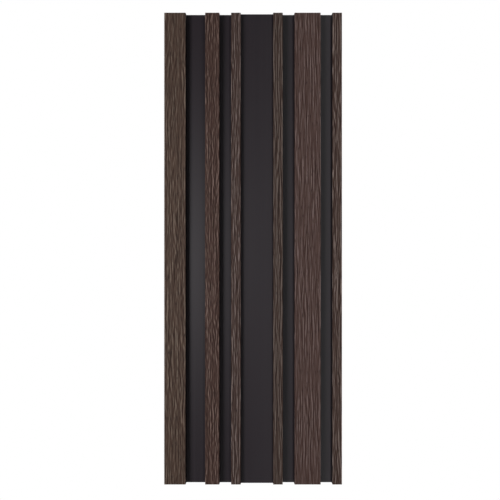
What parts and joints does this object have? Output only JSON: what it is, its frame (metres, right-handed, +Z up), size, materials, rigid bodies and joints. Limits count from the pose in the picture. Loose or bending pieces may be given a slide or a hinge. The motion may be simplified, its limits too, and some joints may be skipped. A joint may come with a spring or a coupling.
{
  "type": "slatted wall panel",
  "caption": "Flat slatted wall panel, extruded in one piece: unequal wood-effect slats stand over black grooves and a raised plain field, and the back is grooved to key the glue.",
  "frame": {"origin": "centre of the flat back that is glued to the wall, halfway up the length", "axes": "+Z up along the length, +Y into the wall, so the slats face -Y, and +X to the right seen from the front"},
  "size_m": [0.15, 0.012, 0.398],
  "materials": {
    "polystyrene_core": "satin black extruded skin",
    "wood_effect_film": "embossed dark oak decor film on the slat faces"
  },
  "bodies": {
    "root": {"wall_panel": "polystyrene_core"}
  },
  "joints": []
}
